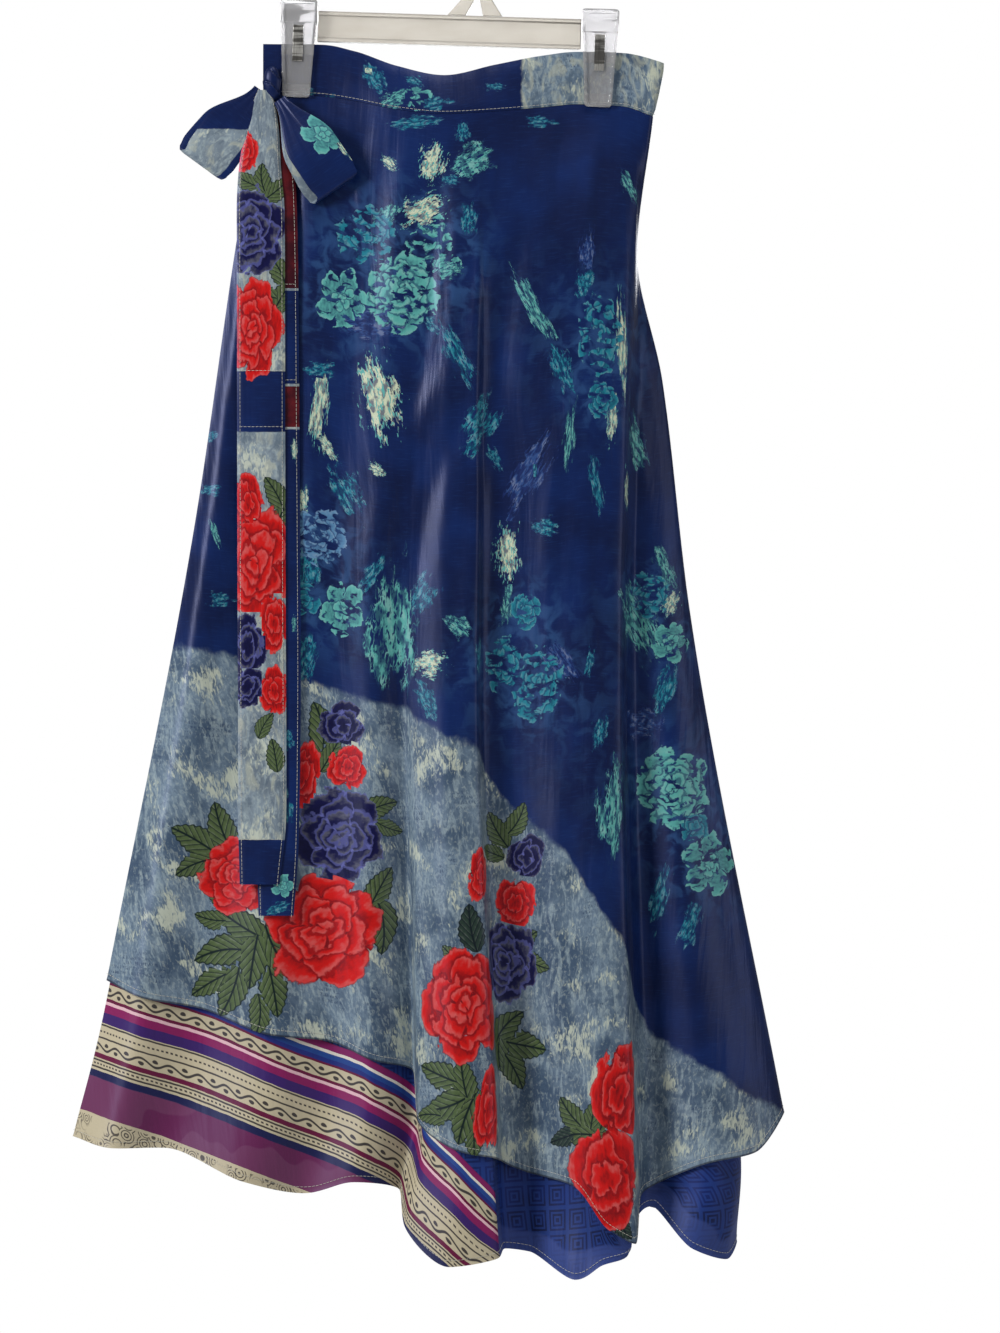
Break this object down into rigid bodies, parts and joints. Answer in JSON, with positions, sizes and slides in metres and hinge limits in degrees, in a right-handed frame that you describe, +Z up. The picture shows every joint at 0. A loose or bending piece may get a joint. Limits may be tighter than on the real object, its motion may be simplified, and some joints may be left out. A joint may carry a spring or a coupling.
{
  "type": "wrap skirt on a clip hanger",
  "caption": "Long two-layer printed wrap skirt with a tied waistband bow and uneven hems, hanging clipped to a moulded plastic skirt hanger.",
  "frame": {"origin": "inside top of the hanger's hook, where a rail carries it", "axes": "+Z up, -Y out of the skirt's front, +X to the right as seen from the front"},
  "size_m": [0.571, 0.119, 1.086],
  "materials": {
    "waistband_satin": "navy printed satin, folded and topstitched",
    "outer_satin": "navy and slate satin with a flower print, soft sheen",
    "under_satin": "royal blue woven satin with striped border bands",
    "tie_satin": "pieced printed satin, flat tubes topstitched along both edges",
    "frosted_plastic": "frosted clear moulded plastic, warm grey",
    "spring_steel": "bright rolled spring strip"
  },
  "bodies": {
    "root": {"waistband_front": "waistband_satin", "waistband_back": "waistband_satin", "outer_front": "outer_satin", "outer_back": "outer_satin", "under_front": "under_satin", "under_back": "under_satin", "tie_knot": "tie_satin", "tie_loop_left": "tie_satin", "tie_loop_right": "tie_satin", "tie_tail_rear": "tie_satin", "tie_tail_front": "tie_satin", "hanger_hook": "frosted_plastic", "hanger_neck": "frosted_plastic", "hanger_bar": "frosted_plastic", "clip_left_front": "frosted_plastic", "clip_left_rear": "frosted_plastic", "clip_left_spring": "spring_steel", "clip_right_front": "frosted_plastic", "clip_right_rear": "frosted_plastic", "clip_right_spring": "spring_steel"}
  },
  "joints": []
}
